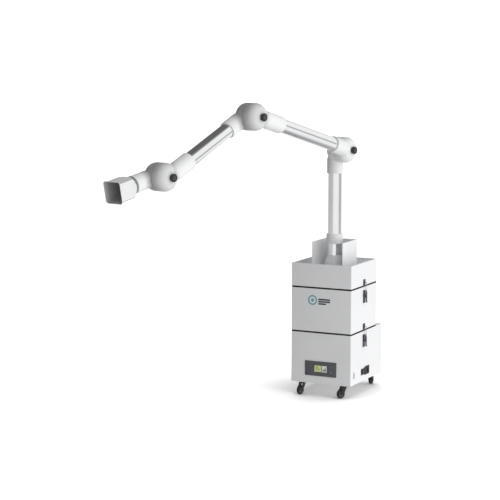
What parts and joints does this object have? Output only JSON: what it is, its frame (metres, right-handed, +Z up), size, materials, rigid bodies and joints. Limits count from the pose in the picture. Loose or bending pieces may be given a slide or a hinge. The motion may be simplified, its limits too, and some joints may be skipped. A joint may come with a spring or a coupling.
{
  "type": "solder fume extractor",
  "caption": "Mobile solder fume extractor: stacked filter cabinet on castors with a tray, a duct mast and a jointed friction arm ending in a square suction hood.",
  "frame": {"origin": "on the floor under the mast's axis, which is the centre of the filter and top modules", "axes": "+Z up, +X to the cabinet's right seen from the front, -Y to the front, where the control panel is"},
  "size_m": [0.6898, 1.8534, 1.594],
  "materials": {
    "white_paint": "fine powder coat",
    "white_plastic": "satin",
    "polished_aluminium": "polished",
    "black_plastic": "satin",
    "dark_mesh": "matt",
    "gasket_rubber": "matt",
    "motor_paint": "matt",
    "filter_media": "matt",
    "panel_plastic": "satin",
    "display_glass": "clear",
    "button_plastic": "satin",
    "latch_metal": "satin",
    "steel": "zinc plated",
    "castor_plastic": "satin",
    "castor_rubber": "matt"
  },
  "bodies": {
    "cabinet": {"base_housing": "white_paint", "base_floor": "white_paint", "exhaust_grille": "white_paint", "blower_scroll": "motor_paint", "blower_motor": "motor_paint", "gasket_lower": "gasket_rubber", "gasket_upper": "gasket_rubber", "filter_housing": "white_paint", "carbon_filter": "filter_media", "particle_filter": "filter_media", "top_housing": "white_paint", "tray_floor": "white_paint", "mast_guard": "white_paint", "mast_foot": "white_plastic", "mast_lower_tube": "polished_aluminium", "mast_collar": "white_plastic", "control_panel": "panel_plastic", "display_window": "display_glass", "mains_sockets": "black_plastic", "latch_plates": "latch_metal", "castor_plates": "steel", "screws": "steel"},
    "blower": {"blower_wheel": "black_plastic"},
    "rocker": {"mains_rocker": "black_plastic"},
    "button_1": {"panel_button_1": "button_plastic"},
    "button_2": {"panel_button_2": "button_plastic"},
    "mast": {"mast_tube": "polished_aluminium", "shoulder_inner": "white_plastic", "shoulder_bolt": "steel"},
    "boom": {"shoulder_outer": "white_plastic", "boom_tube": "polished_aluminium", "elbow_outer": "white_plastic"},
    "forearm": {"elbow_inner": "white_plastic", "elbow_bolt": "steel", "forearm_tube": "polished_aluminium", "wrist_outer": "white_plastic"},
    "wrist": {"wrist_inner": "white_plastic", "wrist_bolt": "steel"},
    "hood": {"hood_spigot": "black_plastic", "hood": "white_plastic", "hood_mesh": "dark_mesh"},
    "shoulder_knob": {"shoulder_knob": "black_plastic"},
    "elbow_knob": {"elbow_knob": "black_plastic"},
    "wrist_knob": {"wrist_knob": "black_plastic"},
    "latch_lever_1": {"latch_lever_1": "latch_metal"},
    "latch_bail_1": {"latch_bail_1": "steel"},
    "latch_lever_2": {"latch_lever_2": "latch_metal"},
    "latch_bail_2": {"latch_bail_2": "steel"},
    "latch_lever_3": {"latch_lever_3": "latch_metal"},
    "latch_bail_3": {"latch_bail_3": "steel"},
    "latch_lever_4": {"latch_lever_4": "latch_metal"},
    "latch_bail_4": {"latch_bail_4": "steel"},
    "castor_fork_1": {"castor_fork_1": "castor_plastic"},
    "castor_wheel_1": {"castor_wheel_1": "castor_rubber"},
    "castor_fork_2": {"castor_fork_2": "castor_plastic"},
    "castor_wheel_2": {"castor_wheel_2": "castor_rubber"},
    "castor_fork_3": {"castor_fork_3": "castor_plastic"},
    "castor_wheel_3": {"castor_wheel_3": "castor_rubber"},
    "castor_fork_4": {"castor_fork_4": "castor_plastic"},
    "castor_wheel_4": {"castor_wheel_4": "castor_rubber"}
  },
  "joints": [
    {"name": "blower_spin", "type": "hinge", "parent": "cabinet", "child": "blower", "pos_m": [0, 0.0625, 0.2], "axis": [0, 0, 1], "continuous": true},
    {"name": "mains_rocker_tilt", "type": "hinge", "parent": "cabinet", "child": "rocker", "pos_m": [0.17, -0.013, 0.123], "axis": [0, 0, 1], "range_deg": [-8, 8]},
    {"name": "mast_swivel", "type": "hinge", "parent": "cabinet", "child": "mast", "pos_m": [0, 0, 0.85], "axis": [0, 0, 1], "range_deg": [-170, 170]},
    {"name": "shoulder_tilt", "type": "hinge", "parent": "mast", "child": "boom", "pos_m": [0.04193, -0.00953, 1.32], "axis": [-0.9751, 0.2215, 0], "range_deg": [-60, 60]},
    {"name": "elbow_tilt", "type": "hinge", "parent": "boom", "child": "forearm", "pos_m": [-0.12713, -0.75365, 1.52447], "axis": [0.9751, -0.2215, 0], "range_deg": [-40, 100]},
    {"name": "wrist_tilt", "type": "hinge", "parent": "forearm", "child": "wrist", "pos_m": [-0.33749, -1.29138, 1.25822], "axis": [0.9751, -0.2215, 0], "range_deg": [-75, 100]},
    {"name": "hood_swivel", "type": "hinge", "parent": "wrist", "child": "hood", "pos_m": [-0.41416, -1.43474, 1.22632], "axis": [-0.2171, -0.9556, -0.1994], "continuous": true},
    {"name": "shoulder_knob_turn", "type": "hinge", "parent": "boom", "child": "shoulder_knob", "pos_m": [0.11994, -0.02725, 1.32], "axis": [0.9751, -0.2215, 0], "range_deg": [-180, 180]},
    {"name": "elbow_knob_turn", "type": "hinge", "parent": "boom", "child": "elbow_knob", "pos_m": [-0.04912, -0.77137, 1.52447], "axis": [0.9751, -0.2215, 0], "range_deg": [-180, 180]},
    {"name": "wrist_knob_turn", "type": "hinge", "parent": "forearm", "child": "wrist_knob", "pos_m": [-0.25948, -1.3091, 1.25822], "axis": [0.9751, -0.2215, 0], "range_deg": [-180, 180]},
    {"name": "panel_button_1_press", "type": "slide", "parent": "cabinet", "child": "button_1", "axis": [0, 1, 0], "range_m": [0, 0.0015], "stiffness_N_per_m": 400, "springref_m": -0.001},
    {"name": "panel_button_2_press", "type": "slide", "parent": "cabinet", "child": "button_2", "axis": [0, 1, 0], "range_m": [0, 0.0015], "stiffness_N_per_m": 400, "springref_m": -0.001},
    {"name": "latch_1_lever", "type": "hinge", "parent": "cabinet", "child": "latch_lever_1", "pos_m": [0.182, 0, 0.319], "axis": [0, -1, 0], "range_deg": [0, 120]},
    {"name": "latch_1_bail", "type": "hinge", "parent": "latch_lever_1", "child": "latch_bail_1", "pos_m": [0.186, 0, 0.305], "axis": [0, -1, 0], "range_deg": [-120, 0]},
    {"name": "latch_2_lever", "type": "hinge", "parent": "cabinet", "child": "latch_lever_2", "pos_m": [-0.182, 0, 0.319], "axis": [0, 1, 0], "range_deg": [0, 120]},
    {"name": "latch_2_bail", "type": "hinge", "parent": "latch_lever_2", "child": "latch_bail_2", "pos_m": [-0.186, 0, 0.305], "axis": [0, 1, 0], "range_deg": [-120, 0]},
    {"name": "latch_3_lever", "type": "hinge", "parent": "cabinet", "child": "latch_lever_3", "pos_m": [0.182, 0, 0.56], "axis": [0, -1, 0], "range_deg": [0, 120]},
    {"name": "latch_3_bail", "type": "hinge", "parent": "latch_lever_3", "child": "latch_bail_3", "pos_m": [0.186, 0, 0.546], "axis": [0, -1, 0], "range_deg": [-120, 0]},
    {"name": "latch_4_lever", "type": "hinge", "parent": "cabinet", "child": "latch_lever_4", "pos_m": [-0.182, 0, 0.56], "axis": [0, 1, 0], "range_deg": [0, 120]},
    {"name": "latch_4_bail", "type": "hinge", "parent": "latch_lever_4", "child": "latch_bail_4", "pos_m": [-0.186, 0, 0.546], "axis": [0, 1, 0], "range_deg": [-120, 0]},
    {"name": "castor_1_swivel", "type": "hinge", "parent": "cabinet", "child": "castor_fork_1", "pos_m": [-0.121, -0.143, 0.06], "axis": [0, 0, 1], "continuous": true},
    {"name": "castor_1_roll", "type": "hinge", "parent": "castor_fork_1", "child": "castor_wheel_1", "pos_m": [-0.12482, -0.16467, 0.025], "axis": [0.9848, -0.1736, 0], "continuous": true},
    {"name": "castor_2_swivel", "type": "hinge", "parent": "cabinet", "child": "castor_fork_2", "pos_m": [0.121, -0.143, 0.06], "axis": [0, 0, 1], "continuous": true},
    {"name": "castor_2_roll", "type": "hinge", "parent": "castor_fork_2", "child": "castor_wheel_2", "pos_m": [0.11276, -0.1634, 0.025], "axis": [0.9272, -0.3746, 0], "continuous": true},
    {"name": "castor_3_swivel", "type": "hinge", "parent": "cabinet", "child": "castor_fork_3", "pos_m": [-0.121, 0.226, 0.06], "axis": [0, 0, 1], "continuous": true},
    {"name": "castor_3_roll", "type": "hinge", "parent": "castor_fork_3", "child": "castor_wheel_3", "pos_m": [-0.11718, 0.24767, 0.025], "axis": [-0.9848, 0.1736, 0], "continuous": true},
    {"name": "castor_4_swivel", "type": "hinge", "parent": "cabinet", "child": "castor_fork_4", "pos_m": [0.121, 0.226, 0.06], "axis": [0, 0, 1], "continuous": true},
    {"name": "castor_4_roll", "type": "hinge", "parent": "castor_fork_4", "child": "castor_wheel_4", "pos_m": [0.1187, 0.24788, 0.025], "axis": [-0.9945, -0.1045, 0], "continuous": true}
  ],
  "couplings": [
    {"joint": "latch_1_bail", "follows": "latch_1_lever", "ratio": -1},
    {"joint": "latch_2_bail", "follows": "latch_2_lever", "ratio": -1},
    {"joint": "latch_3_bail", "follows": "latch_3_lever", "ratio": -1},
    {"joint": "latch_4_bail", "follows": "latch_4_lever", "ratio": -1}
  ]
}
